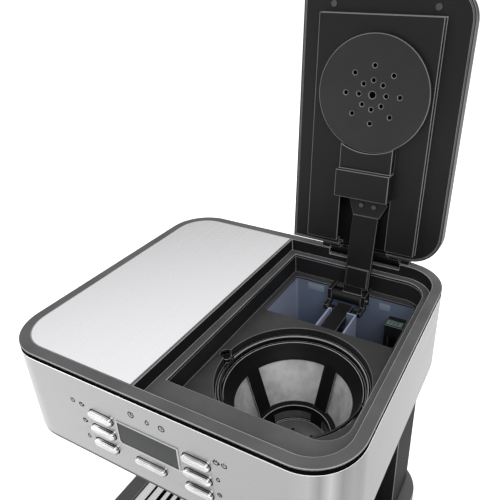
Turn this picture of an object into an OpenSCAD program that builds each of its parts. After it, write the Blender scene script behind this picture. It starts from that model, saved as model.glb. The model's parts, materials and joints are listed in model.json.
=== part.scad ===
// Combined drip and espresso coffee maker, lid open.
// Origin: centre of the footprint, on the surface it stands on. Front faces -Y, +Z is up.

/* [Body] */
// Overall width of the head and the base
body_w = 330; // [326:0.5:334]
// Depth of the head and the base
body_d = 288; // [286:0.5:290]
// Height of the closed head above the table
body_h = 340; // [338:0.5:344]
// Radius of the upright corners
corner_r = 43.5; // [38:0.5:46]
// Height of the steel band round the head
band_h = 88; // [86:0.5:90]
// Width of the moulded rim round the top
rim_w = 10.2; // [9.8:0.1:10.6]
// Wall thickness of the plastic shells
wall = 2.5; // [2:0.1:3]

/* [Lid] */
// Angle between the closed and the open lid, in degrees
lid_open = 96.64; // [94:0.1:98]
// Thickness of the lid
lid_t = 13; // [13:0.1:13.4]
// Length of the lid from its hinge edge to its free edge
lid_len = 265.6; // [262:0.1:265.6]
// Radius of the shower disc
disc_r = 55.4; // [52:0.1:57]

/* [Brewing] */
// Radius of the round opening for the filter holder
basket_r = 70.2; // [70:0.1:70.8]
// Greatest radius of the carafe
carafe_r = 67; // [64:0.5:68]
// Height of the carafe's glass
carafe_h = 148; // [140:1:148]

/* [Controls] */
// Width of a side button
button_w = 26; // [22:0.5:27]
// Height of a side button
button_h = 9.5; // [8:0.1:10]
// Vertical pitch of the side buttons
button_pitch = 16.3; // [15.5:0.1:16.6]

/* [Hidden] */
$fn = 96;
eps = 0.01;

// Colours
trim = "#5f5f5f";
dark = "#2a2a2a";
black = "#161616";
steel = "#c4c4c6";
bright = "#e2e2e6";
water_blue = "#5b6480";

// Heights
foot_h = 3;
base_top = 35;
floor_z = body_h - 6 - band_h;      // underside of the steel band
seam_z = body_h - 6;                // top of the steel band
ledge_z = body_h - 14;              // ledge that the lid closes onto
deck_z = body_h - 37;               // floor of the brewing well
bay_z = 202;                        // underside of the basket housing

// Plan positions
half_w = body_w / 2;
half_d = body_d / 2;
inner_x = half_w - rim_w;           // inner edge of the rim
inner_y = half_d - rim_w;
plate_x = -20.7;                    // right edge of the cup plate
pocket_x = -18;                     // left wall of the lid pocket
well_x0 = -9.8;
well_x1 = 146;
well_y0 = -106;
well_y1 = 126.3;
basket_x = 70.4;
basket_y = -34.3;
tank_x0 = -3;
tank_x1 = 137.5;
tank_y0 = 43;
tank_y1 = 117;
column_x = 150;
column_y = 60;
column_back = half_d - 0.5;
column_r = 22;
group_x = -85;
group_y = -40;
wand_x = -140;
wand_y = -60;

// Lid and its hinge
hinge_y = 140.3;
hinge_z = body_h + 1.5;
pin_r = 2;
fit_gap = 0.05;                     // radial clearance of a pin in its bore
lid_y = inner_y - 1;                // hinge edge of the closed lid
lid_z = body_h - lid_t;             // underside of the closed lid
lid_x0 = -12;
lid_x1 = inner_x - 0.8;
lid_r = 32.5;
knuckle_r = 4.6;
barrel_x0 = 31;                     // lid's hinge barrel, between the frame's two knuckles
barrel_x1 = 111;
lid_arm_w = 12.5;                   // width of the arms that join the barrel to the lid
knuckle_w = 10.2;
pin_x0 = barrel_x0 - 11;
pin_x1 = barrel_x1 + 11;
link_x = 71;                        // middle of the water channel in the lid
disc_s = 166;                       // distance of the shower disc from the hinge edge

// Water arm
arm_y = 112;
arm_z = body_h - 43;
arm_len = 107;
arm_x0 = 46;
arm_x1 = 80;
notch_y = arm_y + 8.5;              // back of the notch in the deck and the tank for the arm's pivot
arm_rest = 76.2;                    // arm's angle above the horizontal with the lid open

// Filter parts
holder_z = body_h - 44.5;           // top of the holder's rim
ear_x = 71;                         // the holder's ears, that carry the bail
bail_r = 67.6;
bail_z = holder_z + 2;
bail_pin_r = 1.5;
mesh_hi = body_h - 64;
mesh_mid = body_h - 107;
mesh_lo = body_h - 126;
rib_w = 15.5;
window_r = 56;                      // filter frame's radius at the top of its windows
ring_r = 40.9;                      // and at its middle ring

// Carafe
carafe_z = 36.2;
handle_y = -170.4;

// Rectangle from (x0, y0) to (x1, y1); which[] says which corners are rounded,
// from the front left one, anticlockwise
module rounded(x0, y0, x1, y1, r, which = [1, 1, 1, 1]) {
    corners = [[x0, y0, 1, 1], [x1, y0, -1, 1], [x1, y1, -1, -1], [x0, y1, 1, -1]];
    difference() {
        translate([x0, y0]) square([x1 - x0, y1 - y0]);
        for (i = [0:3]) if (which[i] == 1) {
            c = corners[i];
            difference() {
                translate([c[2] > 0 ? c[0] - 1 : c[0] - r, c[3] > 0 ? c[1] - 1 : c[1] - r])
                    square(r + 1);
                translate([c[0] + c[2] * r, c[1] + c[3] * r]) circle(r);
            }
        }
    }
}

// The body's plan outline, moved inwards by inset
module outline(inset = 0)
    rounded(-half_w + inset, -half_d + inset, half_w - inset, half_d - inset, corner_r - inset);

// Upright slab of a plan shape between two heights
module slab(z0, z1) translate([0, 0, z0]) linear_extrude(z1 - z0) children();

// Upright ring wall that follows the outline
module outline_wall(inset, thick, z0, z1)
    difference() {
        slab(z0, z1) outline(inset);
        slab(z0 - 1, z1 + 1) outline(inset + thick);
    }

module block(x0, y0, z0, x1, y1, z1) translate([x0, y0, z0]) cube([x1 - x0, y1 - y0, z1 - z0]);

// Turns the closed lid's parts to the open position, or by any other angle
module lid_pose() translate([0, hinge_y, hinge_z]) rotate([-lid_open, 0, 0])
    translate([0, -hinge_y, -hinge_z]) children();

module arm_pose() translate([0, arm_y, arm_z]) rotate([arm_rest, 0, 0]) children();

module along_x(x0, x1, y, z, r) translate([x0, y, z]) rotate([0, 90, 0]) cylinder(h = x1 - x0, r = r);

module along_y(x, y0, y1, z, r) translate([x, y1, z]) rotate([90, 0, 0]) cylinder(h = y1 - y0, r = r);

module at_basket() translate([basket_x, basket_y, 0]) children();

module foot_places() for (x = [-128, 128], y = [-106, 106]) translate([x, y, 0]) children();

// ---- Base ----

tray_x0 = -145;
tray_x1 = -22;
tray_y0 = -124;
tray_y1 = 44;
tray_r = 10;
plate_r = 61.5;

// Plan of the tray's pocket
module tray_area(grow) rounded(tray_x0 - grow, tray_y0 - grow, tray_x1 + grow, tray_y1 + grow,
    tray_r + grow);

module base_shell() color(trim) difference() {
    union() {
        difference() {
            slab(foot_h, base_top) outline();
            slab(foot_h - 1, base_top - 3) outline(wall);
        }
        slab(foot_h + 4, base_top - 1) tray_area(wall);
        foot_places() slab(foot_h + wall, base_top - 2) circle(5);
    }
    slab(foot_h + 6.5, base_top + 1) tray_area(0);
    at_basket() slab(base_top - 4, base_top + 1) circle(plate_r + 0.5);
    foot_places() slab(0, foot_h + 14) circle(1.6);
    block(basket_x - 6, riser_y - 6, base_top - 4, basket_x + 6, riser_y + 6, base_top + 1);
}

module bottom_plate() color(dark) difference() {
    slab(foot_h, foot_h + wall) outline(wall + 0.3);
    foot_places() slab(0, 10) circle(2);
    for (i = [0:9]) block(60 + 7 * i, 30, 0, 63 + 7 * i, 90, 10);
}

module feet() color(black) foot_places() difference() {
    cylinder(h = foot_h, r = 12);
    translate([0, 0, -1]) cylinder(h = foot_h + 2, r = 4.5);
}

module bottom_screws() color(steel) foot_places() {
    translate([0, 0, foot_h - 1.6]) cylinder(h = 1.6, r = 3.6);
    translate([0, 0, foot_h - eps]) cylinder(h = 6, r = 1.5);
}

module hot_plate() color(black) at_basket() rotate_extrude()
    polygon([[0, 33.6], [58, 33.6], [59, 31], [61.4, 31], [61.4, 35.4], [60.6, 36.2], [0, 36.2]]);

module plate_heater() color(steel) at_basket() {
    translate([0, 0, 27.4]) rotate(-60) rotate_extrude(angle = 300) translate([38, 0]) circle(4.5);
    translate([0, 0, 31.8]) cylinder(h = 1.7, r = 48);
}

// ---- Column ----

module column_area(grow) rounded(-column_x - grow, column_y - grow, column_x + grow, column_back + grow,
    column_r + grow, [0, 0, 1, 1]);

cover_x = 118;                      // half the back cover's width
gland_x = -90;
gland_z = 62;

module column_shell() color(trim) difference() {
    slab(base_top, floor_z - 3) column_area(0);
    slab(base_top - 1, floor_z) column_area(-wall);
    block(-cover_x, 100, base_top - 1, cover_x, half_d, floor_z);
}

module column_front() color(dark) difference() {
    block(-column_x, column_y - wall, base_top, column_x, column_y, floor_z - 3);
    for (x = [-15, 15])
        block(x - 0.6, column_y - wall - 1, base_top + 8, x + 0.6, column_y - wall + 0.8, floor_z - 11);
}

module back_cover() color(dark) difference() {
    block(-cover_x, column_back - 3, base_top, cover_x, column_back, floor_z - 3);
    for (i = [0:13], x = [-100, 50])
        block(x, half_d - 4, 150 + 5 * i, x + 50, half_d, 152 + 5 * i);
    along_y(gland_x, half_d - 4, half_d, gland_z, 7.5);
}

module power_gland() color(black) difference() {
    union() {
        along_y(gland_x, column_back, half_d + 1.5, gland_z, 10);
        along_y(gland_x, half_d - 8, half_d, gland_z, 7.5);
    }
    along_y(gland_x, half_d - 6, half_d + 3, gland_z, 3.8);
}

// ---- Head ----

// Everything that passes through the head's floor
module floor_holes() {
    translate([group_x, group_y]) circle(38.3);
    translate([wand_x, wand_y]) circle(7);
    rounded(-130, column_y + wall, 142, half_d - 6, 4);
}

module head_floor() color(black) {
    difference() {
        union() {
            slab(floor_z - 3, floor_z) outline(0.5);
            outline_wall(1.3, 2, floor_z - eps, floor_z + 6);
            at_basket() slab(bay_z, floor_z) circle(76.5);
        }
        slab(floor_z - 4, floor_z + 1) floor_holes();
        at_basket() slab(bay_z + wall, floor_z + 7) circle(74);
        at_basket() slab(bay_z - 1, floor_z) circle(16);
    }
}

side_z = body_h - 57;
left_x = -64;
right_x = 32.4;
centre_w = 31.5;
centre_x = -18.5;
centre_z = body_h - 72;
screen = [-34.2, body_h - 60.5, 28.9, body_h - 35];

// Pill shape in the front panel's plane: x to the right, y up
module pill(x, z, w, h, grow = 0) {
    r = h / 2 + grow;
    translate([x + h / 2, z - r]) square([w - h, 2 * r]);
    for (px = [x + h / 2, x + w - h / 2]) translate([px, z]) circle(r);
}

module screen_area(grow) rounded(screen[0] - grow, screen[1] - grow, screen[2] + grow,
    screen[3] + grow, 4 + grow, [1, 0, 0, 0]);

// Slab of a front-panel shape between two depths behind the front face
module panel(d0, d1) translate([0, -half_d + d1, 0]) rotate([90, 0, 0]) linear_extrude(d1 - d0)
    children();

module steel_band() color(steel) difference() {
    outline_wall(0, 1.2, floor_z, seam_z);
    panel(-1, 3) screen_area(0.1);
    for (x = [left_x, right_x], i = [-1:1])
        panel(-1, 3) pill(x, side_z - i * button_pitch, button_w, button_h, 0.4);
    panel(-1, 3) pill(centre_x, centre_z, centre_w, 7.5, 0.4);
}

module seam_strip() color(black) difference() {
    outline_wall(1.4, 2.6, seam_z, body_h - 1.6);
    block(pin_x0 - 0.5, half_d - 9, body_h - 5, pin_x1 + 0.5, half_d + 1, body_h);
}

// Part of the lid pocket: straight at the left, rounded at the right
module pocket_area(grow = 0) rounded(pocket_x - grow, -inner_y - grow, inner_x + grow, inner_y + grow,
    33.3 + grow, [0, 1, 1, 0]);

module plate_area(grow = 0) rounded(-inner_x - grow, -inner_y - grow, plate_x + grow, inner_y + grow,
    33.3 + grow, [1, 0, 0, 1]);

module well_area(grow = 0) rounded(well_x0 - grow, well_y0 - grow, well_x1 + grow, well_y1 + grow,
    24 + grow, [0, 1, 1, 0]);

module top_frame() color(trim) difference() {
    union() {
        difference() {
            union() {
                slab(body_h - 1.6, body_h) outline();
                slab(ledge_z - 3, body_h - 1.5) outline(4.2);
            }
            slab(body_h - 1.2, body_h + 1) plate_area(0);
            slab(ledge_z - 4, body_h - 4) plate_area(-2);
            slab(ledge_z, body_h + 1) pocket_area();
            slab(ledge_z - 4, ledge_z + 1) well_area();
        }
        for (x = [pin_x0, pin_x1 - knuckle_w])
            difference() {
                along_x(x, x + knuckle_w, hinge_y, hinge_z, knuckle_r);
                block(x - 1, half_d - 0.3, body_h - 6, x + 12, half_d + 5, body_h + 9);
            }
    }
    block(barrel_x0 - 0.7, inner_y - 1, body_h - 7, barrel_x1 + 0.7, half_d + 1, body_h + 1);
    along_x(pin_x0 - 1, pin_x1 + 1, hinge_y, hinge_z, pin_r + 0.01);
}

module brew_well() color(dark) difference() {
    union() {
        slab(deck_z - wall, ledge_z - 3) well_area(wall);
        at_basket() slab(floor_z, deck_z) circle(basket_r + 2.2);
    }
    slab(deck_z, ledge_z) well_area();
    at_basket() slab(floor_z - 1, deck_z + 1) circle(basket_r);
    for (side = [-1, 1]) translate([basket_x + side * ear_x, basket_y, 0])
        slab(deck_z - 14, deck_z + 1) circle(6);
    slab(deck_z - wall - 1, deck_z + 1) {
        rounded(tank_x0, tank_y0, tank_x1, tank_y1, 3);
        translate([arm_x0 - 6, tank_y1 - 1]) square([arm_x1 - arm_x0 + 12, notch_y - tank_y1 + 1]);
    }
}

module top_plate() color(bright) slab(body_h - 1.2, body_h) plate_area(-0.3);

module hinge_pin() color(steel) along_x(pin_x0, pin_x1, hinge_y, hinge_z, pin_r);

// ---- Controls ----

module display_bezel() color(bright) panel(-0.8, 2) difference() {
    screen_area(0);
    screen_area(-1.4);
}

module display_lens() color("#4a4c4e") panel(-0.3, 2) screen_area(-1.5);

module display_module() color(dark) panel(2.2, 9.8) translate([-31, 281]) square([56, 22]);

module control_board() color("#2f5a3a") panel(10, 11.6) translate([-78, 256]) square([152, 56]);

// Button cap with a collar behind the panel
module button(x, z, w, h) color(bright) {
    panel(-3, 4) pill(x, z, w, h);
    panel(1.5, 2.7) pill(x, z, w, h, 1.2);
}

module button_left_top() button(left_x, side_z + button_pitch, button_w, button_h);
module button_left_mid() button(left_x, side_z, button_w, button_h);
module button_left_low() button(left_x, side_z - button_pitch, button_w, button_h);
module button_right_top() button(right_x, side_z + button_pitch, button_w, button_h);
module button_right_mid() button(right_x, side_z, button_w, button_h);
module button_right_low() button(right_x, side_z - button_pitch, button_w, button_h);
module button_centre() button(centre_x, centre_z, centre_w, 7.5);

// ---- Espresso side ----

group_z = 216;                      // underside of the group head
group_bore = 238;                   // top of its bore
boiler_z = floor_z + 4.1;

module group_head() color(steel) translate([group_x, group_y, 0]) difference() {
    union() {
        slab(group_z, floor_z + 4) circle(38);
        slab(floor_z + 0.1, floor_z + 4) circle(46);
    }
    slab(group_z - 1, group_bore) circle(30.5);
    slab(group_z - 1, group_z + 6) for (a = [0, 180]) rotate(a) translate([24, -8]) square([16, 16]);
}

module group_screen() color(steel) translate([group_x, group_y, 0]) difference() {
    union() {
        slab(group_bore - 4, group_bore - 0.1) circle(28);
        slab(group_bore - 5.4, group_bore - 4) circle(4);
    }
    for (r = [10, 17, 24], a = [0:30:330]) rotate(a + r)
        translate([r, 0, group_bore - 8]) cylinder(h = 6, r = 1, $fn = 24);
}

module boiler() color(steel) translate([group_x, group_y, 0]) {
    slab(boiler_z, 300) circle(32);
    slab(boiler_z, 256) circle(42);
    slab(285, 289) circle(36);
}

pump_y = 100;
pump_z = 82;

module pump() color(dark) {
    block(-118, pump_y - 22, pump_z - 22, -62, pump_y + 22, pump_z + 22);
    along_x(-62, -40, pump_y, pump_z, 12);
    along_x(-132, -118, pump_y, pump_z, 6);
}

wand_tilt = 8;
wand_r = 3.5;
wand_z = 232;                       // height of the wand's bend
socket_z = 237;

module wand_socket() color(black) translate([wand_x, wand_y, 0]) difference() {
    union() {
        slab(socket_z, floor_z + 6) circle(6.8);
        slab(socket_z, floor_z - 3.1) circle(10);
    }
    slab(wand_z, floor_z + 7) circle(wand_r + fit_gap);
}

module wand_bend() translate([wand_x, wand_y, wand_z]) rotate([-wand_tilt, 0, 0]) children();

module steam_wand() color(bright) {
    translate([wand_x, wand_y, wand_z]) cylinder(h = floor_z + 6 - wand_z, r = wand_r);
    translate([wand_x, wand_y, wand_z]) sphere(4.2);
    wand_bend() translate([0, 0, -92]) cylinder(h = 92, r = wand_r);
    wand_bend() translate([0, 0, -98]) cylinder(h = 6, r1 = 2.4, r2 = wand_r);
}

module wand_sleeve() color(black) wand_bend() difference() {
    translate([0, 0, -52]) cylinder(h = 38, r = 7);
    translate([0, 0, -53]) cylinder(h = 40, r = wand_r);
}

// ---- Water path ----

tank_w = 2;                         // wall of the water tank
tank_bottom = 60;
tank_step = 262;                    // height where the tank narrows into the column
tank_back = tank_y1 + tank_w;
recess_x0 = 56;
recess_x1 = 84;
recess_y = 78;
riser_y = 70;                       // riser tube, in the recess
riser_top = 288;
duct_x0 = 58;
duct_x1 = 75;

// The tank's plan: its upper part reaches forward on both sides of the recess for the riser
module tank_plan(grow, upper) {
    side = tank_w - grow;
    difference() {
        rounded(tank_x0 - grow, upper ? tank_y0 - grow : recess_y + side, tank_x1 + grow, tank_y1 + grow,
            3 + grow);
        if (upper) translate([recess_x0 - side, tank_y0 - 10])
            square([recess_x1 - recess_x0 + 2 * side, recess_y - tank_y0 + 10 + side]);
    }
}

module water_tank() color(water_blue, 0.5) difference() {
    union() {
        slab(tank_bottom, tank_step + tank_w) tank_plan(tank_w, false);
        slab(tank_step, deck_z - wall - 0.1) tank_plan(tank_w, true);
        block(tank_x0 + 16, tank_back - eps, tank_step, tank_x0 + 30, tank_back + 3, tank_step + 8);
    }
    slab(tank_bottom + tank_w, tank_step + 3) tank_plan(0, false);
    slab(tank_step + tank_w, deck_z) tank_plan(0, true);
    block(arm_x0 - 6, tank_y1 - 1, arm_z - 9, arm_x1 + 6, tank_back + 1, deck_z);
    block(duct_x0 - 0.2, recess_y - 1, riser_top - 0.2, duct_x1 + 0.2, recess_y + tank_w + 1, deck_z);
}

module level_sensor() color(black) difference() {
    block(111, 99, 63, 131, tank_y1 - 0.2, 284);
    block(115, 98, 80, 127, 103, 270);
}

module riser_tube() color(steel) translate([basket_x, riser_y, 0]) difference() {
    slab(27, riser_top) circle(4.5);
    slab(26, riser_top + 1) circle(3.2);
}

// Fixed elbow: carries hot water from the riser to the arm's pivot
module riser_duct() color(black) difference() {
    union() {
        block(duct_x0, 47, riser_top, duct_x1, 98, riser_top + 9);
        block(duct_x0 + 2, 92, riser_top - 2, duct_x1 - 1, 103, riser_top + 4);
        for (x = [arm_x0 - 5, arm_x1 + 0.4]) {
            block(x, arm_y - 6.5, arm_z - 6, x + 4.6, notch_y - 0.2, deck_z + 3);
            block(x, arm_y, deck_z + 0.05, x + 4.6, well_y1 - 0.2, deck_z + 3);
            block(x, 94, arm_z - 11, x + 4.6, arm_y, arm_z - 5);
        }
        block(arm_x0 - 5, 94, arm_z - 11, arm_x1 + 5, 101, arm_z - 7.5);
    }
    along_x(arm_x0 - 7, arm_x1 + 7, arm_y, arm_z, pin_r + 0.01);
    translate([basket_x, riser_y, riser_top - 8]) cylinder(h = 8.1, r = 4.55);
}

module arm_pin() color(bright) along_x(arm_x0 - 6, arm_x1 + 6, arm_y, arm_z, pin_r);

arm_t = 2.5;                        // half of the arm's thickness
arm_end = arm_len - 12.5;           // end of the arm's hollow plate
arm_screw_x = [65, 79];

// Arm in its own frame: pivot at the origin, the arm runs along +Y
module water_arm() color(dark) arm_pose() difference() {
    union() {
        along_x(arm_x0, arm_x1, 0, 0, 6.5);
        block(57, 0, -arm_t, 79, 14, arm_t);
        block(57, 13, -arm_t, 85, arm_end, arm_t);
        block(59, 15, 2, 83, 36, 4.5);
        block(60, arm_end - 1.5, -arm_t, 82, arm_len + 2, -0.1);
    }
    along_x(arm_x0 - 1, arm_x1 + 1, 0, 0, pin_r + fit_gap);
    block(63, 18, -1.2, 78, arm_end + 0.5, 1.2);
}

module arm_head() color(black) arm_pose() difference() {
    linear_extrude(arm_t) polygon([[51, arm_len + 10], [91, arm_len + 10], [93, arm_len + 2],
        [86, arm_end + 0.1], [57, arm_end + 0.1], [51, arm_len + 2]]);
    for (x = arm_screw_x) translate([x, arm_len - 1, -1]) cylinder(h = 8, r = 1.3);
}

module arm_screws() color(steel) arm_pose() for (x = arm_screw_x) translate([x, arm_len - 1, 0]) {
    translate([0, 0, arm_t + 0.05]) cylinder(h = 1.1, r = 2.6);
    translate([0, 0, 0.1]) cylinder(h = arm_t, r = 1.2);
}

// ---- Lid ----

// s runs from the hinge edge to the free edge, under the closed lid
module lid_area(grow) rounded(lid_x0 - grow, lid_y - lid_len - grow, lid_x1 + grow, lid_y + grow,
    lid_r + grow, [0, 1, 1, 0]);

module lid_span(x0, x1, s0, s1, z0, z1) block(x0, lid_y - s1, z0, x1, lid_y - s0, z1);

module lid_screw_places() for (x = [20, 120]) translate([x, lid_y - 245, lid_z]) children();

module lid_shell() color(dark) lid_pose() difference() {
    union() {
        difference() {
            slab(lid_z, body_h) lid_area(0);
            slab(lid_z - 1, body_h - 2.4) lid_area(-2.4);
            lid_span(44, 98, -1, 4, lid_z - 1, body_h - 2.4);
        }
        along_x(barrel_x0, barrel_x1, hinge_y, hinge_z, knuckle_r);
        for (x = [barrel_x0, barrel_x1 - lid_arm_w]) {
            block(x, lid_y - 3, body_h - 2.4, x + lid_arm_w, hinge_y, body_h + 4);
            block(x, lid_y - 2, body_h - 6.5, x + lid_arm_w, hinge_y - 2, body_h - 2);
        }
        lid_screw_places() translate([0, 0, 2.4]) cylinder(h = lid_t - 3, r = 3.5);
    }
    along_x(barrel_x0 - 1, barrel_x1 + 1, hinge_y, hinge_z, pin_r + fit_gap);
    lid_screw_places() cylinder(h = 8, r = 1.2);
}

plateau_h = 8;
plateau_x0 = 8.5;
plateau_x1 = 128.5;

module lid_liner() color(dark) lid_pose() difference() {
    union() {
        slab(lid_z, lid_z + 2.2) lid_area(-2.6);
        lid_span(plateau_x0, plateau_x1, 8.5, 237, lid_z - plateau_h, lid_z + 1);
    }
    lid_span(plateau_x0 + 2, plateau_x1 - 2, 10.5, 235, lid_z - plateau_h + 2, lid_z + 3);
    lid_span(44, 98, -1, 123, lid_z - plateau_h - 1, lid_z + 3);
    translate([link_x, lid_y - disc_s, lid_z - plateau_h - 1]) cylinder(h = 4, r = disc_r - 4);
    lid_screw_places() translate([0, 0, -1]) cylinder(h = 4, r = 1.6);
}

disc_drop = 14;                     // how far the shower disc stands under the liner

module shower_disc() color("#444444") lid_pose() translate([link_x, lid_y - disc_s, 0]) difference() {
    union() {
        slab(lid_z - disc_drop, lid_z - disc_drop + 2) circle(disc_r);
        slab(lid_z - disc_drop, lid_z - plateau_h) circle(disc_r);
    }
    slab(lid_z - disc_drop + 2, lid_z) circle(disc_r - 2);
    slab(lid_z - disc_drop - 1, lid_z) circle(3.2, $fn = 24);
    for (ring = [[13.6, 0], [27, 0]], i = [0:7]) rotate(45 * i + ring[1])
        translate([ring[0], 0, lid_z - disc_drop - 1]) cylinder(h = 4, r = 2, $fn = 24);
    translate([-24, disc_r - 14, lid_z - disc_drop + 2]) cube([48, 20, 10]);
}

cover_drop = 23;                    // how far the channel's cover stands under the lid, and its neck
neck_drop = 16.8;
cover_wall = 1.7;

module channel_cover() color(dark) lid_pose() difference() {
    union() {
        lid_span(link_x - 28, link_x + 28, 64, 92, lid_z - cover_drop, lid_z - plateau_h);
        lid_span(link_x - 27, link_x + 27, 91, 118, lid_z - neck_drop, lid_z - plateau_h);
    }
    lid_span(link_x - 26, link_x + 26, 62, 90, lid_z - cover_drop + cover_wall, lid_z);
    lid_span(link_x - 25, link_x + 25, 80, 120, lid_z - neck_drop + cover_wall, lid_z);
    translate([link_x, lid_y - disc_s, lid_z - 30]) cylinder(h = 40, r = disc_r + 0.2);
}

module lid_screws() color(steel) lid_pose() lid_screw_places() {
    translate([0, 0, -0.8]) cylinder(h = 0.8, r = 3);
    translate([0, 0, -eps]) cylinder(h = 7, r = 1.15);
}

// ---- Filter ----

module filter_holder() color(black) at_basket() difference() {
    union() {
        rotate_extrude() polygon([
            [9, 209.4], [46, 209.4], [62, 284], [66.4, 288], [66.4, holder_z - 0.6], [67, holder_z],
            [69.2, holder_z], [69.7, holder_z - 0.6], [69.7, holder_z - 3], [68.4, holder_z - 4],
            [68.2, 287], [64, 282.6], [48.4, 207], [9, 207]]);
        slab(197, 209.4) difference() {
            circle(9.6);
            circle(7);
        }
        for (side = [-1, 1]) translate([side * ear_x, 0, holder_z - 6]) cylinder(h = 10, r = 4.6);
    }
    for (side = [-1, 1]) along_x(side * ear_x - 6, side * ear_x + 6, 0, bail_z, bail_pin_r + fit_gap);
}

module holder_bail() color(black) at_basket() translate([0, 0, bail_z]) {
    difference() {
        rotate(180) rotate_extrude(angle = 180) translate([bail_r - 2.9, 0]) circle(1.3, $fn = 32);
        for (side = [-1, 1]) translate([side * bail_r - 5, -1, -3]) cube([10, 1.5, 6]);
    }
    for (side = [-1, 1]) translate([side * 66, 0, 0]) rotate([0, side * 90, 0]) {
        translate([0, 0, -2.2]) cylinder(h = 8.2, r = bail_pin_r);
        translate([0, 0, -2.2]) cylinder(h = 2.4, r = 2.6);
    }
}

module drip_valve() color(trim) at_basket() {
    slab(192, 210) circle(3);
    slab(209.5, 211.5) circle(8.6);
    slab(192, 194) circle(5.6);
}

spring_turns = 4;

module valve_spring() color(steel) at_basket() translate([0, 0, 195])
    linear_extrude(height = 13, twist = -360 * spring_turns, slices = 72, $fn = 8)
    translate([4.6, 0]) circle(0.8, $fn = 8);

// Height bands of the permanent filter's windows
module window_band(z0, z1) difference() {
    slab(z0, z1) circle(70);
    for (a = [75, 165]) rotate(a) translate([-80, -rib_w / 2, z0 - 1]) cube([160, rib_w, z1 - z0 + 2]);
}

module filter_frame() color(black) at_basket() difference() {
    rotate_extrude() polygon([
        [30, 213.6], [34.6, 213.6], [ring_r - 4.6, mesh_mid - 5.4], [ring_r - 2, mesh_mid - 5.4],
        [ring_r, mesh_mid + 1.2], [window_r, mesh_hi + 1], [60.4, 286], [62.6, 288.4], [65.8, 288.4],
        [65.8, 290.2], [65.2, 290.8], [62.8, 290.8], [62.4, 290.2], [60.6, 287.4], [59.4, 285],
        [window_r - 2, mesh_hi + 1], [ring_r - 2, mesh_mid + 1.2], [ring_r - 3, mesh_mid + 0.4],
        [ring_r - 6, mesh_mid + 0.4], [ring_r - 6.6, mesh_mid - 0.4], [ring_r - 6.6, mesh_mid - 5.4],
        [32.6, 215.8], [30, 215.8]]);
    window_band(mesh_mid + 1, mesh_hi);
    window_band(mesh_lo + 3.6, mesh_mid - 6.4);
    slab(mesh_lo - 14, mesh_lo + 16) circle(29.9);
}

module filter_mesh() color("#8a8a8a") at_basket() {
    rotate_extrude() polygon([
        [ring_r + 0.1, mesh_mid + 0.2], [ring_r + 1, mesh_mid + 0.2],
        [window_r + 0.9, mesh_hi + 0.6], [window_r, mesh_hi + 0.6]]);
    rotate_extrude() polygon([
        [35, 214.2], [35.6, 214.2], [ring_r - 3.8, mesh_mid - 6], [ring_r - 4.4, mesh_mid - 6]]);
    slab(215.85, 216.25) difference() {
        circle(32);
        for (a = [0:60:300]) rotate(a) translate([20, 0]) circle(1.5);
    }
}

// ---- Carafe ----

glass_top = carafe_z + carafe_h;
lid_edge_r = carafe_r - 17;         // radius of the carafe's lid

// Outer radius of the carafe's glass at a fraction t of its height
function glass_r(t) = t < 0.35 ? carafe_r - 11 * pow(1 - t / 0.35, 2)
    : t < 0.85 ? carafe_r - 19 * pow(sin(90 * (t - 0.35) / 0.5), 2) : carafe_r - 19;

module carafe_glass() color("#cfd6d8", 0.35) at_basket() rotate_extrude() polygon(concat(
    [[0, carafe_z]],
    [for (i = [0:24]) [glass_r(i / 24), carafe_z + carafe_h * i / 24]],
    [for (i = [24:-1:1]) [glass_r(i / 24) - 2.2, carafe_z + carafe_h * i / 24]],
    [[glass_r(0) - 4, carafe_z + 2.4], [0, carafe_z + 2.4]]));

module carafe_band() color(black) at_basket() difference() {
    slab(glass_top - 17, glass_top - 1) circle(carafe_r - 16.6);
    slab(glass_top - 18, glass_top + 1) circle(carafe_r - 18.95);
}

module carafe_handle() color(black) difference() {
    union() {
        translate([basket_x - 11, 0, 0]) rotate([90, 0, 90]) linear_extrude(22)
            difference() {
                rounded(handle_y, 66, basket_y - 50.5, glass_top - 1, 14, [1, 1, 0, 1]);
                rounded(handle_y + 13, 79, basket_y - 62, glass_top - 17, 9);
                translate([basket_y - 64, 60]) square([20, glass_top - 77]);
            }
        block(basket_x - 8, basket_y - 58, glass_top - 16, basket_x + 8, basket_y - 48, glass_top - 2);
    }
    at_basket() slab(60, 200) circle(carafe_r - 16.55);
    at_basket() slab(60, glass_top - 22) circle(carafe_r + 0.4);
}

// Twist-off lid with a knurled edge and a hole that the coffee runs through
module carafe_lid() color(black) at_basket() difference() {
    union() {
        slab(glass_top + 0.3, glass_top + 7) circle(lid_edge_r);
        slab(glass_top - 8, glass_top + 1) circle(lid_edge_r - 5.5);
    }
    slab(glass_top - 9, glass_top + 4.8) circle(lid_edge_r - 7.5);
    slab(glass_top, glass_top + 8) circle(9);
    for (i = [0:23]) rotate(15 * i) translate([lid_edge_r + 0.6, 0]) slab(glass_top + 1.5, glass_top + 8)
        circle(1.6, $fn = 24);
}

// ---- Drip tray ----

grate_t = 3;
slot_len = 26;
slot_r = 2.5;

module drip_tray() color(dark) difference() {
    union() {
        slab(foot_h + 6.6, base_top - 1) tray_area(-0.6);
        slab(base_top - 1, base_top + 1) tray_area(-0.6);
    }
    slab(foot_h + 8.6, base_top - 1) tray_area(-5);
    slab(base_top - grate_t + 0.5, base_top + 2) tray_area(-2.8);
}

// Rows of round-ended slots between two long ones
module tray_grate() color(bright) difference() {
    slab(base_top - grate_t + 0.5, base_top + 0.5) tray_area(-3.2);
    for (x = [tray_x0 + 14, tray_x1 - 17]) block(x, tray_y0 + 12, 0, x + 3, tray_y1 - 12, 60);
    for (i = [0:6], y = [-105, -49, 7]) translate([tray_x0 + 29 + 11 * i, y])
        slab(base_top - 5, base_top + 3) {
            translate([-slot_r, 0]) square([2 * slot_r, slot_len]);
            for (end = [0, slot_len]) translate([0, end]) circle(slot_r, $fn = 24);
        }
}

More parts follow.
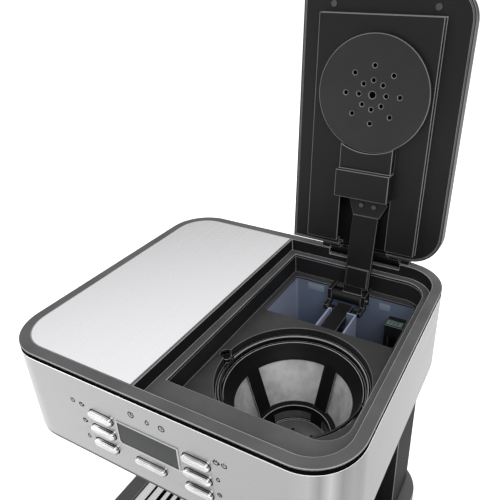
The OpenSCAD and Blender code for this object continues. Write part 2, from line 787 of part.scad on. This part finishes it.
base_shell();
bottom_plate();
feet();
bottom_screws();
hot_plate();
plate_heater();
column_shell();
column_front();
back_cover();
power_gland();
head_floor();
steel_band();
seam_strip();
top_frame();
brew_well();
top_plate();
hinge_pin();
display_bezel();
display_lens();
display_module();
control_board();
group_head();
group_screen();
boiler();
pump();
wand_socket();
water_tank();
level_sensor();
riser_tube();
riser_duct();
arm_pin();
lid_shell();
lid_liner();
shower_disc();
channel_cover();
lid_screws();
water_arm();
arm_head();
arm_screws();
filter_holder();
holder_bail();
drip_valve();
valve_spring();
filter_frame();
filter_mesh();
carafe_glass();
carafe_band();
carafe_handle();
carafe_lid();
button_left_top();
button_left_mid();
button_left_low();
button_right_top();
button_right_mid();
button_right_low();
button_centre();
drip_tray();
tray_grate();
steam_wand();
wand_sleeve();
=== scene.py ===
"""Looks for the combined drip and espresso coffee maker. Metres, in the CAD frame: Z up, front faces -Y."""
import json
import math

import bmesh
import bpy
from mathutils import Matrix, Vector


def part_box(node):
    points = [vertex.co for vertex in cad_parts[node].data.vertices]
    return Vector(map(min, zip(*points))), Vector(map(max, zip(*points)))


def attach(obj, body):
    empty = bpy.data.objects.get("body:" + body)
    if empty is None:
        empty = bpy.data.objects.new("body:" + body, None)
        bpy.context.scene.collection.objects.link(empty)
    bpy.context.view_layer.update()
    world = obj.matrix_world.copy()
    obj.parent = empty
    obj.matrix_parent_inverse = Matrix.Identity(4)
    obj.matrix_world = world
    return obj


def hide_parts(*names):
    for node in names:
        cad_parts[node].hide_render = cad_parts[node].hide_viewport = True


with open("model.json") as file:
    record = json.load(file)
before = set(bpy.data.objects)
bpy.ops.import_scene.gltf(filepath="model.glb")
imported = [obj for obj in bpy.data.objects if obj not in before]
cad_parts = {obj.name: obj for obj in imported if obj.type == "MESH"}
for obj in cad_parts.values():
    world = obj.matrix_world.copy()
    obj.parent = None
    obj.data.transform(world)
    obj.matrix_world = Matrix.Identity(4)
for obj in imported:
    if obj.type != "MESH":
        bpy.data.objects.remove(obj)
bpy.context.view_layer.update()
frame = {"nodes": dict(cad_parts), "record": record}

MM = 0.001
NODES = frame["nodes"]
SCENE = bpy.context.scene
SLOT_OF = {part["node"]: part["material_slot"] for part in frame["record"]["subparts"]}
BODY_OF = {node: body for body, nodes in frame["record"]["behaviour"]["bodies"].items() for node in nodes}


# ---------------------------------------------------------------- node trees

def tone(color, factor):
    return tuple(min(1.0, c * factor) for c in color)


class Graph:
    """A material's node tree, with short calls for the nodes that this script uses."""

    def __init__(self, name, color, roughness, metallic=0.0):
        self.mat = bpy.data.materials.new(name)
        self.mat.use_nodes = True
        self.tree = self.mat.node_tree
        self.shader = self.tree.nodes["Principled BSDF"]
        self.set(**{"Base Color": (*color, 1.0), "Roughness": roughness, "Metallic": metallic})
        coords = self.add("ShaderNodeTexCoord")
        self.place = coords.outputs["Object"]
        self.facing = coords.outputs["Normal"]

    def add(self, kind, **values):
        node = self.tree.nodes.new(kind)
        for key, value in values.items():
            setattr(node, key, value)
        return node

    def set(self, **values):
        for key, value in values.items():
            self.shader.inputs[key].default_value = value

    def feed(self, out, socket):
        self.tree.links.new(out, self.shader.inputs[socket])

    def wire(self, value, socket):
        if isinstance(value, (int, float, tuple)):
            socket.default_value = value
        elif value is not None:
            self.tree.links.new(value, socket)

    def axis(self, vector, name):
        node = self.add("ShaderNodeSeparateXYZ")
        self.wire(vector, node.inputs[0])
        return node.outputs[name]

    def scaled(self, scale, offset=(0.0, 0.0, 0.0)):
        node = self.add("ShaderNodeMapping")
        self.wire(self.place, node.inputs["Vector"])
        self.wire(scale, node.inputs["Scale"])
        self.wire(offset, node.inputs["Location"])
        return node.outputs["Vector"]

    def noise(self, scale, detail=2.0, rough=0.5, vector=None):
        node = self.add("ShaderNodeTexNoise")
        self.wire(vector or self.place, node.inputs["Vector"])
        self.wire(scale, node.inputs["Scale"])
        self.wire(detail, node.inputs["Detail"])
        self.wire(rough, node.inputs["Roughness"])
        return node.outputs["Fac"]

    def ramp(self, fac, stops):
        node = self.add("ShaderNodeValToRGB")
        self.wire(fac, node.inputs["Fac"])
        ends = node.color_ramp.elements
        while len(ends) < len(stops):
            ends.new(0.5)
        for end, (place, color) in zip(ends, stops):
            end.position = place
            end.color = (*color, 1.0)
        return node.outputs["Color"]

    def span(self, fac, low, high, out_low, out_high):
        node = self.add("ShaderNodeMapRange")
        for key, value in zip(("Value", "From Min", "From Max", "To Min", "To Max"),
                              (fac, low, high, out_low, out_high)):
            self.wire(value, node.inputs[key])
        return node.outputs["Result"]

    def math(self, operation, a, b=None):
        node = self.add("ShaderNodeMath", operation=operation)
        self.wire(a, node.inputs[0])
        self.wire(b, node.inputs[1])
        return node.outputs["Value"]

    def times(self, color_a, color_b, fac=1.0):
        node = self.add("ShaderNodeMix", data_type="RGBA", blend_type="MULTIPLY")
        self.wire(fac, node.inputs["Factor"])
        self.wire(color_a, node.inputs[6])
        self.wire(color_b, node.inputs[7])
        return node.outputs[2]

    def mixed(self, fac, color_a, color_b):
        node = self.add("ShaderNodeMix", data_type="RGBA")
        self.wire(fac, node.inputs["Factor"])
        self.wire(color_a, node.inputs[6])
        self.wire(color_b, node.inputs[7])
        return node.outputs[2]

    def bump(self, height, strength, distance):
        node = self.add("ShaderNodeBump")
        self.wire(height, node.inputs["Height"])
        self.wire(strength, node.inputs["Strength"])
        self.wire(distance, node.inputs["Distance"])
        self.feed(node.outputs["Normal"], "Normal")


# ---------------------------------------------------------------- materials

def moulded(name, color, roughness, side=None, specular=0.35, grain=900.0, relief=0.00005, spread=0.14):
    """Moulded plastic with a spark-eroded grain. side, if given, is a darker colour for its upright walls:
    painted shade, so that its level faces show lit.
    """
    g = Graph(name, color, roughness)
    cloud = g.ramp(g.noise(26.0, 4.0), [(0.3, (1 - spread,) * 3), (0.7, (1 + spread,) * 3)])
    base = (*color, 1.0)
    # Painted shade: upright walls take the darker side colour, level faces the lighter lit colour
    if side:
        level = g.math("ABSOLUTE", g.axis(g.facing, "Z"))
        base = g.mixed(g.span(level, 0.45, 0.75, 0.0, 1.0), (*side, 1.0), (*color, 1.0))
    g.feed(g.times(base, cloud), "Base Color")
    fine = g.noise(grain, 2.0, 0.6)
    g.feed(g.span(fine, 0.3, 0.7, roughness - 0.05, roughness + 0.07), "Roughness")
    g.bump(fine, 0.35, relief)
    g.set(**{"Specular IOR Level": specular})
    return g.mat


def glossy(name, color, roughness=0.14):
    """Polished plastic: faint flow marks, and a little dust in the gloss."""
    g = Graph(name, color, roughness)
    g.feed(g.ramp(g.noise(40.0, 3.0), [(0.3, tone(color, 0.85)), (0.7, tone(color, 1.2))]), "Base Color")
    g.feed(g.span(g.noise(120.0, 4.0, 0.7), 0.4, 0.8, roughness, roughness + 0.12), "Roughness")
    g.bump(g.noise(60.0, 2.0), 0.12, 0.0002)
    return g.mat


def brushed(name, color, roughness, stretch, relief=0.00003, spread=0.05, painted_streaks=None):
    """Brushed metal: scratches drawn out along the axes with a small stretch value. The streaks, if given,
    are painted reflection: the colour changes with the way a face turns.
    """
    g = Graph(name, color, roughness, 1.0)
    lines = g.noise(1.0, 6.0, 0.75, g.scaled(stretch))
    shade = g.ramp(lines, [(0.3, tone(color, 1 - spread)), (0.7, tone(color, 1 + spread))])
    # Painted reflection: the base colour follows the way the face turns
    if painted_streaks:
        axis, stops = painted_streaks
        painted_by_facing = g.span(g.axis(g.facing, axis), -1.0, 1.0, 0.0, 1.0)
        shade = g.times(shade, g.ramp(painted_by_facing, [(at, (grey,) * 3) for at, grey in stops]))
    g.feed(shade, "Base Color")
    g.feed(g.span(lines, 0.3, 0.7, roughness - 0.04, roughness + 0.06), "Roughness")
    g.bump(lines, 0.25, relief)
    return g.mat


# Painted reflection: how bright a metal face is painted by the way it turns, standing in for the studio's
# dark and light parts mirrored in it
PAINTED_STEEL_STREAKS = ("X", [(0.0, 0.78), (0.04, 0.9), (0.2, 1.0), (0.5, 1.0), (0.68, 1.04), (0.76, 0.7), (0.83, 1.2),
                 (0.9, 0.62), (0.96, 0.72), (1.0, 0.5)])
PAINTED_TILT_SHEEN = ("Z", [(0.0, 0.06), (0.2, 0.1), (0.36, 0.5), (0.44, 0.16), (0.49, 0.72), (0.56, 0.85), (0.7, 1.0),
                (1.0, 0.95)])


def rubbery(name, color):
    g = Graph(name, color, 0.85)
    g.feed(g.ramp(g.noise(200.0, 3.0), [(0.3, tone(color, 0.8)), (0.7, tone(color, 1.3))]), "Base Color")
    g.bump(g.noise(1400.0, 2.0), 0.4, 0.00008)
    return g.mat


WEAVE_PITCH = 0.55 * MM
WEAVE_HOLE = 0.15       # share of the light that the weave lets through


def woven(name, color):
    """Fine wire cloth wrapped round the basket's axis."""
    low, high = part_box("filter_mesh")
    middle = (low + high) / 2
    g = Graph(name, color, 0.45, 0.55)
    around = g.scaled((1.0, 1.0, 1.0), (-middle.x, -middle.y, 0.0))
    angle = g.math("ARCTAN2", g.axis(around, "Y"), g.axis(around, "X"))
    turns = g.math("MULTIPLY", angle, math.tau * 8)
    rows = g.math("MULTIPLY", g.axis(around, "Z"), math.tau / WEAVE_PITCH)
    wires = g.math("MULTIPLY", g.math("SINE", g.math("MULTIPLY", turns, 12.0)), g.math("SINE", rows))
    shade = g.ramp(g.span(wires, -1.0, 1.0, 0.0, 1.0), [(0.2, tone(color, 0.8)), (0.8, tone(color, 1.15))])
    stain = g.ramp(g.noise(45.0, 5.0, 0.65), [(0.32, (0.7,) * 3), (0.6, (1.1,) * 3)])
    # Painted shade: the cloth darkens towards the bottom of the basket
    depth = g.span(g.axis(g.place, "Z"), low.z + 15 * MM, low.z + 17 * MM, 0.3, 1.0)
    g.feed(g.times(g.times(shade, stain), depth), "Base Color")
    g.bump(wires, 0.5, 0.0001)
    g.set(**{"Alpha": 1.0 - WEAVE_HOLE})
    return g.mat


def tinted(name, color, roughness, through):
    """Translucent moulded plastic, cloudy, with painted shade that darkens its front and back walls."""
    g = Graph(name, color, roughness)
    cloud = g.ramp(g.noise(14.0, 2.0), [(0.3, tone(color, 0.85)), (0.7, tone(color, 1.15))])
    # Painted shade: walls facing front and back are darker
    painted_by_facing = g.math("ABSOLUTE", g.axis(g.facing, "Y"))
    g.feed(g.times(cloud, g.ramp(painted_by_facing, [(0.4, (1.0,) * 3), (0.8, (0.5, 0.56, 0.58))])), "Base Color")
    g.feed(g.span(g.noise(70.0, 3.0), 0.3, 0.7, roughness - 0.05, roughness + 0.1), "Roughness")
    g.bump(g.noise(35.0), 0.15, 0.0003)
    g.set(**{"Transmission Weight": through, "IOR": 1.5})
    return g.mat


def clear_glass(name):
    g = Graph(name, (0.94, 0.97, 0.97), 0.03)
    g.feed(g.span(g.noise(30.0, 4.0), 0.4, 0.8, 0.01, 0.06), "Roughness")
    g.bump(g.noise(22.0), 0.08, 0.0004)
    g.set(**{"Transmission Weight": 1.0, "IOR": 1.47})
    return g.mat


LCD_LOW = 278 * MM      # heights between which painted shade darkens the display
LCD_HIGH = 306 * MM


def lcd(name):
    """Unlit liquid-crystal window: grey-green layers behind a clear front."""
    g = Graph(name, (0.05, 0.052, 0.053), 0.4)
    # Painted shade: the display darkens towards the top
    shade_fall = g.span(g.axis(g.place, "Z"), LCD_LOW, LCD_HIGH, 0.0, 1.0)
    shaded_layer = g.ramp(shade_fall, [(0.0, (0.034, 0.035, 0.036)), (1.0, (0.024, 0.025, 0.025))])
    dots = g.ramp(g.noise(300.0, 2.0), [(0.3, (0.93,) * 3), (0.7, (1.05,) * 3)])
    g.feed(g.times(shaded_layer, dots), "Base Color")
    g.bump(g.noise(900.0), 0.05, 0.00004)
    g.set(**{"Specular IOR Level": 0.15})
    return g.mat


RIM = (0.088, 0.088, 0.09)
# Painted shade: the colour of upright walls, darker than the lit level faces
WALL_SHADE = (0.012, 0.012, 0.013)
LID = (0.0065, 0.0065, 0.007)
MATERIALS = {
    "grey_plastic": moulded("grey_plastic", (0.06, 0.06, 0.062), 0.5),
    "dark_plastic": moulded("dark_plastic", LID, 0.42, specular=0.25, grain=1200.0, relief=0.00004),
    "black_plastic": moulded("black_plastic", (0.008, 0.008, 0.0085), 0.4, grain=1200.0, relief=0.00004),
    "gloss_black": glossy("gloss_black", (0.006, 0.006, 0.0065)),
    "basket_black": moulded("basket_black", (0.0045, 0.0045, 0.005), 0.5, specular=0.12),
    "disc_plastic": moulded("disc_plastic", (0.014, 0.014, 0.0145), 0.4),
    "rubber": rubbery("rubber", (0.02, 0.02, 0.02)),
    "brushed_steel": brushed("brushed_steel", (0.315, 0.315, 0.319), 0.3, (6.0, 6.0, 1800.0),
                             painted_streaks=PAINTED_STEEL_STREAKS),
    "plate_steel": brushed("plate_steel", (0.9, 0.9, 0.915), 0.24, (700.0, 4.0, 4.0), 0.000001, 0.006),
    "bright_metal": brushed("bright_metal", (0.8, 0.8, 0.82), 0.1, (40.0, 40.0, 40.0), 0.00001, 0.02, PAINTED_TILT_SHEEN),
    # Its drawn-out lines spread wide: painted dark reflection streaks on the chrome
    "button_chrome": brushed("button_chrome", (0.66, 0.66, 0.67), 0.1, (50.0, 50.0, 420.0), 0.00001, 0.5,
                             PAINTED_TILT_SHEEN),
    "grate_steel": brushed("grate_steel", (0.6, 0.6, 0.61), 0.22, (900.0, 10.0, 10.0)),
    "mesh_metal": woven("mesh_metal", (0.78, 0.78, 0.78)),
    "display_glass": lcd("display_glass"),
    "tank_blue": tinted("tank_blue", (0.27, 0.3, 0.41), 0.35, 0.06),
    "carafe_glass": clear_glass("carafe_glass"),
    "plate_enamel": moulded("plate_enamel", (0.02, 0.02, 0.02), 0.25, specular=0.6, grain=300.0),
    "board_green": moulded("board_green", (0.02, 0.09, 0.04), 0.45),
    "pump_body": moulded("pump_body", (0.3, 0.29, 0.26), 0.5),
    # The rim's and the well's level faces are painted lighter and their upright walls darker: painted light
    # and shade
    "rim_grey": moulded("rim_grey", RIM, 0.6, side=WALL_SHADE, specular=0.1),
    "well_dark": moulded("well_dark", (0.042, 0.042, 0.043), 0.46, side=WALL_SHADE),
    "screw_dark": brushed("screw_dark", (0.12, 0.12, 0.12), 0.35, (200.0, 200.0, 200.0)),
    # Grey plastic darkened as painted shade, for the column that stands in shade
    "column_shaded_grey": moulded("column_shaded_grey", (0.03, 0.03, 0.0305), 0.6, specular=0.02),
    # Flat unreflecting black: painted shade in the groove under the rim and round the buttons
    "groove_shade_black": moulded("groove_shade_black", (0.003, 0.003, 0.003), 0.9, specular=0.0),
    "bezel_metal": brushed("bezel_metal", (0.42, 0.42, 0.425), 0.3, (300.0, 300.0, 300.0)),
    "clip_pale": tinted("clip_pale", (0.5, 0.54, 0.62), 0.3, 0.1),
    "sensor_green": moulded("sensor_green", (0.12, 0.2, 0.15), 0.4),
    "ink": moulded("ink", (0.008, 0.008, 0.0085), 0.8, specular=0.1),
    # Lighter copies of the finishes for rounded edges: painted highlights
    "edge_highlight_grey": moulded("edge_highlight_grey", (0.3, 0.3, 0.305), 0.4),
    "edge_highlight_dark": moulded("edge_highlight_dark", (0.15, 0.15, 0.153), 0.35),
    "edge_highlight_black": glossy("edge_highlight_black", (0.16, 0.16, 0.162), 0.2),
    "edge_highlight_ring": moulded("edge_highlight_ring", (0.4, 0.4, 0.405), 0.3, specular=0.5),
    "edge_highlight_steel": brushed("edge_highlight_steel", (0.95, 0.95, 0.95), 0.25, (60.0, 60.0, 60.0)),
}
# What a CAD node shows where that isn't its record slot's plain finish
OWN_FINISH = {
    "top_frame": "rim_grey", "brew_well": "well_dark", "column_shell": "column_shaded_grey",
    "lid_screws": "screw_dark", "arm_screws": "screw_dark", "hinge_pin": "screw_dark",
    "filter_holder": "basket_black", "filter_frame": "basket_black",
    "seam_strip": "groove_shade_black", "display_bezel": "bezel_metal",
}
# Painted highlight: the lighter copy of a finish that a piece's rounded edges take
EDGE_HIGHLIGHT_OF = {
    "rim_grey": "edge_highlight_grey", "grey_plastic": "edge_highlight_grey",
    "well_dark": "edge_highlight_dark", "dark_plastic": "edge_highlight_dark", "disc_plastic": "edge_highlight_dark",
    "black_plastic": "edge_highlight_black", "gloss_black": "edge_highlight_black", "basket_black": "edge_highlight_ring",
    "brushed_steel": "edge_highlight_steel", "plate_steel": "edge_highlight_steel", "grate_steel": "edge_highlight_steel",
}


def finish_of(node):
    return OWN_FINISH.get(node, SLOT_OF[node])


def dress_nodes():
    for node, obj in NODES.items():
        obj.data.materials.clear()
        obj.data.materials.append(MATERIALS[finish_of(node)])


# ---------------------------------------------------------------- pieces

SMOOTH_ANGLE = math.radians(38)
BEVEL_ANGLE = math.radians(40)
FLAT_ANGLE = math.radians(0.6)
# Nodes with level faces that run right round an opening, whose triangles stay as they are
RING_SHAPED = ("top_frame", "brew_well", "steel_band", "filter_holder", "filter_frame", "base_shell")


def smoothed(mesh):
    mesh.shade_smooth()
    mesh.set_sharp_from_angle(angle=SMOOTH_ANGLE)


def finished_mesh(bm, name, finish):
    mesh = bpy.data.meshes.new(name)
    bm.to_mesh(mesh)
    bm.free()
    mesh.materials.append(MATERIALS[finish])
    return mesh


def place(piece, body, slot, *nodes):
    """Put a piece in the scene, on its body, standing for the CAD nodes named. The slot is not used."""
    SCENE.collection.objects.link(piece)
    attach(piece, body)
    if nodes:
        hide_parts(*nodes)
    return piece


def rounded_copy(node, width, segments=2):
    """A piece that stands for a CAD node, with flat faces merged and sharp edges rounded and painted lighter
    as a highlight.
    """
    bm = bmesh.new()
    bm.from_mesh(NODES[node].data)
    bmesh.ops.remove_doubles(bm, verts=bm.verts, dist=0.002 * MM)
    if node not in RING_SHAPED:
        bmesh.ops.dissolve_limit(bm, angle_limit=FLAT_ANGLE, verts=bm.verts, edges=bm.edges)
    finish = finish_of(node)
    mesh = bpy.data.meshes.new(node + "_rounded")
    bm.to_mesh(mesh)
    bm.free()
    mesh.materials.append(MATERIALS[finish])
    # Painted highlight: the rounded edges get the lighter copy of the finish
    mesh.materials.append(MATERIALS[EDGE_HIGHLIGHT_OF.get(finish, finish)])
    draft = bpy.data.objects.new("draft", mesh)
    SCENE.collection.objects.link(draft)
    bevel = draft.modifiers.new("edges", "BEVEL")
    bevel.limit_method = "ANGLE"
    bevel.angle_limit = BEVEL_ANGLE
    bevel.width = width
    bevel.segments = segments
    bevel.use_clamp_overlap = False
    bevel.material = 1
    bpy.context.view_layer.update()
    final = bpy.data.meshes.new_from_object(draft.evaluated_get(bpy.context.evaluated_depsgraph_get()))
    bpy.data.objects.remove(draft)
    smoothed(final)
    piece = bpy.data.objects.new(node + "_piece", final)
    normals = piece.modifiers.new("normals", "WEIGHTED_NORMAL")
    normals.keep_sharp = True
    return place(piece, BODY_OF[node], SLOT_OF[node], node)


# Nodes with rounded edges, by the width of the rounding
ROUNDED = {
    0.7 * MM: ["lid_shell", "lid_liner", "shower_disc", "channel_cover"],
    0.55 * MM: ["top_frame", "base_shell", "column_shell", "drip_tray", "carafe_handle", "carafe_lid",
                "group_head"],
    0.45 * MM: ["brew_well", "water_arm", "arm_head", "column_front", "back_cover", "carafe_band",
                "level_sensor", "hot_plate", "wand_socket", "steel_band", "arm_screws"],
    0.3 * MM: ["filter_holder", "filter_frame", "tray_grate", "riser_duct", "display_bezel"],
}


def make_rounded():
    for width, nodes in ROUNDED.items():
        for node in nodes:
            rounded_copy(node, width)


def pill_outline(low, high, inset, steps=8):
    """Outline of a button's front: a rectangle from low to high with round ends, drawn in by inset."""
    x0, x1 = low.x + inset, high.x - inset
    z0, z1 = low.z + inset, high.z - inset
    r = (z1 - z0) / 2
    points = []
    for cx, start in ((x1 - r, -90), (x0 + r, 90)):
        for i in range(steps * 2 + 1):
            a = math.radians(start + 180 * i / (steps * 2))
            points.append((cx + r * math.cos(a), (z0 + z1) / 2 + r * math.sin(a)))
    return points


BUTTONS = sorted(node for node in NODES if node.startswith("button_"))
COLLAR = Vector((1.2, 0, 1.2)) * MM     # what a button's hidden collar adds to its box on each side
# A cap's section from its skirt to its front: how far it is drawn in, and its depth, in millimetres
CAP_ROWS = [(0.0, 4.0), (0.0, 1.3), (0.12, 0.75), (0.45, 0.32), (0.95, 0.12), (1.9, 0.03)]


def cap_box(node):
    low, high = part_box(node)
    return low + COLLAR, high - COLLAR


def wall_between(bm, near, far):
    """Faces between two rings with the same number of vertices."""
    for i, vert in enumerate(near):
        j = (i + 1) % len(near)
        bm.faces.new((vert, near[j], far[j], far[i]))


def button_cap(node):
    """Plated button: a straight skirt, a rolled shoulder and a slightly crowned front."""
    low, high = cap_box(node)
    bm = bmesh.new()
    rings = [[bm.verts.new((x, low.y + depth * MM, z)) for x, z in pill_outline(low, high, inset * MM)]
             for inset, depth in CAP_ROWS]
    for near, far in zip(rings, rings[1:]):
        wall_between(bm, near, far)
    bm.faces.new(rings[-1])
    bm.faces.new(list(reversed(rings[0])))
    bmesh.ops.recalc_face_normals(bm, faces=bm.faces)
    mesh = finished_mesh(bm, node + "_cap", "button_chrome")
    smoothed(mesh)
    place(bpy.data.objects.new(node + "_piece", mesh), BODY_OF[node], "bright_metal", node)


def make_buttons():
    for node in BUTTONS:
        button_cap(node)


PANEL_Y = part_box("steel_band")[0].y
SEAM_OUT = 1.1 * MM     # how far the strip in the groove under the rim is filled out
INK = 0.06 * MM         # how far the print and the painted shadow rings stand off the steel


GAP_OUT = 0.75 * MM     # a painted shadow ring's reach outside and inside a button's outline
GAP_IN = 0.1 * MM


def make_gap_shadows():
    """Painted shadow: flat black rings laid on the panel round the buttons, standing in for the shade in the
    gaps round them.
    """
    bm = bmesh.new()
    for node in BUTTONS:
        low, high = cap_box(node)
        wall_between(bm, *([bm.verts.new((x, PANEL_Y - INK, z)) for x, z in pill_outline(low, high, inset)]
                           for inset in (-GAP_OUT, GAP_IN)))
    piece = bpy.data.objects.new("panel_gap_shadows", finished_mesh(bm, "panel_gap_shadows", "groove_shade_black"))
    place(piece, "body", "black_plastic")


def arc(cx, cz, radius, start, end, steps=20):
    turns = [math.radians(start + (end - start) * i / steps) for i in range(steps + 1)]
    return [(cx + radius * math.cos(a), cz + radius * math.sin(a)) for a in turns]


def clock_icon():
    return [arc(0, 0, 1, 0, 360), [(0, 0.6), (0, 0), (0.45, 0)]]


def drop_icon():
    return [arc(0, -0.25, 0.7, 150, 390) + [(0, 1.05), (-0.6, 0.1)]]


def cup_icon():
    return [[(-1, 0.4), (0.7, 0.4), (0.7, -0.4), (0.35, -0.8), (-0.65, -0.8), (-1, -0.4), (-1, 0.4)],
            arc(0.75, 0.0, 0.4, 90, -90, 8), [(-0.5, 0.7), (-0.5, 1.1)], [(0.2, 0.7), (0.2, 1.1)]]


def power_icon():
    return [arc(0, 0, 0.9, 125, 415), [(0, 1.1), (0, 0.2)]]


def stroke(bm, points, width):
    """A flat ribbon along a line of points in the front plane."""
    y = PANEL_Y - INK
    for (x0, z0), (x1, z1) in zip(points, points[1:]):
        along = Vector((x1 - x0, 0, z1 - z0))
        if along.length < 1e-7:
            continue
        along.normalize()
        side = Vector((-along.z, 0, along.x)) * width / 2
        start = Vector((x0, y, z0)) - along * width / 4
        end = Vector((x1, y, z1)) + along * width / 4
        corners = (start - side, end - side, end + side, start + side)
        bm.faces.new([bm.verts.new(c) for c in corners])


# Icon, place from the middle of the panel and down from the head's top, and half width, in millimetres
ICON_LINE = 0.85 * MM
ICONS = [
    (power_icon, -81.6, 40.4, 2.3), (cup_icon, -71.6, 41.1, 2.3), (cup_icon, -71.9, 59.4, 2.3),
    (drop_icon, -71.9, 77.7, 2.3), (clock_icon, -15.0, 26.5, 2.7), (drop_icon, 1.0, 27.4, 2.3),
    (clock_icon, 15.3, 27.0, 2.7), (cup_icon, 64.5, 37.0, 2.5), (power_icon, 71.5, 36.7, 2.4),
    (clock_icon, -2.8, 81.0, 1.8), (drop_icon, 64.5, 55.5, 2.0), (clock_icon, 64.5, 73.0, 1.8),
]


def make_icons():
    bm = bmesh.new()
    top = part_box("top_frame")[1].z
    for draw, x, down, size in ICONS:
        for line in draw():
            points = [((x + u * size) * MM, top + (v * size - down) * MM) for u, v in line]
            stroke(bm, points, ICON_LINE)
    piece = bpy.data.objects.new("panel_icons", finished_mesh(bm, "panel_icons", "ink"))
    place(piece, "body", "black_plastic")


def make_seam():
    """The black strip in the groove under the rim, filled out until it stands just inside the steel, in a
    flat black that paints the groove's shade.
    """
    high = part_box("seam_strip")[1]
    mesh = NODES["seam_strip"].data.copy()
    for vert in mesh.vertices:
        vert.co.x *= 1 + SEAM_OUT / high.x
        vert.co.y *= 1 + SEAM_OUT / high.y
    mesh.materials.clear()
    mesh.materials.append(MATERIALS["groove_shade_black"])
    smoothed(mesh)
    place(bpy.data.objects.new("seam_strip_piece", mesh), "body", SLOT_OF["seam_strip"], "seam_strip")


def moulded_block(name, low, high, width, finish, slot):
    """A small moulded block with rounded edges, from low to high in millimetres."""
    bm = bmesh.new()
    spans = [(low[i] * MM, high[i] * MM) for i in range(3)]
    corners = [bm.verts.new((x, y, z)) for x in spans[0] for y in spans[1] for z in spans[2]]
    for side in ((0, 1, 3, 2), (4, 6, 7, 5), (0, 4, 5, 1), (2, 3, 7, 6), (0, 2, 6, 4), (1, 5, 7, 3)):
        bm.faces.new([corners[i] for i in side])
    bmesh.ops.recalc_face_normals(bm, faces=bm.faces)
    bmesh.ops.bevel(bm, geom=bm.edges[:], offset=width * MM, segments=2, affect="EDGES", profile=0.6)
    mesh = finished_mesh(bm, name, finish)
    smoothed(mesh)
    return place(bpy.data.objects.new(name, mesh), "body", slot)


# Clips on the tank's back wall: name, left and right edge, lower and upper edge, in millimetres
TANK_CLIPS = [("left", 11, 32, 290, 299), ("middle", 38, 45, 294, 299.5), ("right", 98, 111, 288, 297)]
TANK_WALL = 2.6


def make_tank_details():
    """Clips and a level tube on the tank's back wall, and the sensor's board with its contacts."""
    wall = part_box("water_tank")[1].y / MM - TANK_WALL
    for name, x0, x1, z0, z1 in TANK_CLIPS:
        moulded_block("tank_clip_" + name, (x0, wall - 2.5, z0), (x1, wall, z1), 0.6,
                      "clip_pale", "tank_blue")
    moulded_block("tank_level_tube", (64, wall - 6, 240), (70, wall - 0.1, 268), 1.2,
                  "clip_pale", "tank_blue")
    low, high = (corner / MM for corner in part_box("level_sensor"))
    moulded_block("sensor_board", (low.x + 1.5, low.y + 1.5, high.z),
                  (high.x - 1.5, low.y + 9, high.z + 1.2), 0.3, "sensor_green", "board_green")
    for i in range(3):
        x = low.x + 4 + 4 * i
        moulded_block(f"sensor_contact_{i + 1}", (x, low.y + 2.5, high.z + 1.1),
                      (x + 1.8, low.y + 7.5, high.z + 2.0), 0.25, "bright_metal", "bright_metal")


# ---------------------------------------------------------------- camera, light and floor

LENS = 38.42            # millimetres, on a sensor 36 mm wide
SENSOR = 36.0
SHIFT = (-0.0952, -0.0294)
EYE = (0.24088, -0.35217, 0.63707)
GAZE = (1.08326, 0.00799, 0.4736)
# Name, place, point aimed at, width in metres and power in watts
LIGHTS = [
    ("key", (1.2, -1.4, 1.8), (0, 0, 0.3), 1.2, 20),
    ("fill", (-1.6, -0.8, 1.2), (0, 0, 0.3), 1.4, 10),
    ("rim", (0.3, 1.6, 1.6), (0, 0, 0.35), 1.0, 14),
]
# The sky's grey by the direction's height, from -1 to 1 across 0 to 1
SKY = [(0.38, 0.36), (0.58, 1.0)]
FLOOR_REACH = 20.0


def make_camera():
    data = bpy.data.cameras.new("camera")
    data.sensor_width = SENSOR
    data.lens = LENS
    data.shift_x, data.shift_y = SHIFT
    cam = bpy.data.objects.new("camera", data)
    cam.location = EYE
    cam.rotation_euler = GAZE
    SCENE.collection.objects.link(cam)
    SCENE.camera = cam


def area_light(name, place_at, target, size, power):
    data = bpy.data.lights.new(name, "AREA")
    data.energy = power
    data.size = size
    lamp = bpy.data.objects.new(name, data)
    lamp.location = place_at
    lamp.rotation_euler = (Vector(target) - Vector(place_at)).to_track_quat("-Z", "Y").to_euler()
    SCENE.collection.objects.link(lamp)


def make_world():
    """A bright studio sky, darker near the horizon, so that level metal fades towards the back."""
    world = bpy.data.worlds.new("studio")
    SCENE.world = world
    world.use_nodes = True
    tree = world.node_tree
    coords = tree.nodes.new("ShaderNodeTexCoord")
    parts = tree.nodes.new("ShaderNodeSeparateXYZ")
    ramp = tree.nodes.new("ShaderNodeValToRGB")
    tree.links.new(coords.outputs["Generated"], parts.inputs[0])
    tree.links.new(parts.outputs["Z"], ramp.inputs["Fac"])
    tree.links.new(ramp.outputs["Color"], tree.nodes["Background"].inputs["Color"])
    for stop, (at, grey) in zip(ramp.color_ramp.elements, SKY):
        stop.position = at
        stop.color = (grey, grey, grey, 1.0)


def make_floor():
    mesh = bpy.data.meshes.new("floor")
    corners = [(x * FLOOR_REACH, y * FLOOR_REACH, 0) for x, y in ((-1, -1), (1, -1), (1, 1), (-1, 1))]
    mesh.from_pydata(corners, [], [(0, 1, 2, 3)])
    floor = bpy.data.objects.new("floor", mesh)
    g = Graph("floor_paper", (0.9, 0.9, 0.9), 0.7)
    g.feed(g.ramp(g.noise(3.0), [(0.3, (0.89,) * 3), (0.7, (0.91,) * 3)]), "Base Color")
    g.set(**{"Emission Color": (1.0, 1.0, 1.0, 1.0), "Emission Strength": 0.45})
    mesh.materials.append(g.mat)
    SCENE.collection.objects.link(floor)


def make_studio():
    make_world()
    make_floor()
    for light in LIGHTS:
        area_light(*light)
    SCENE.view_settings.view_transform = "Standard"


make_camera()
make_studio()
dress_nodes()
make_rounded()
make_buttons()
make_gap_shadows()
make_icons()
make_seam()
make_tank_details()
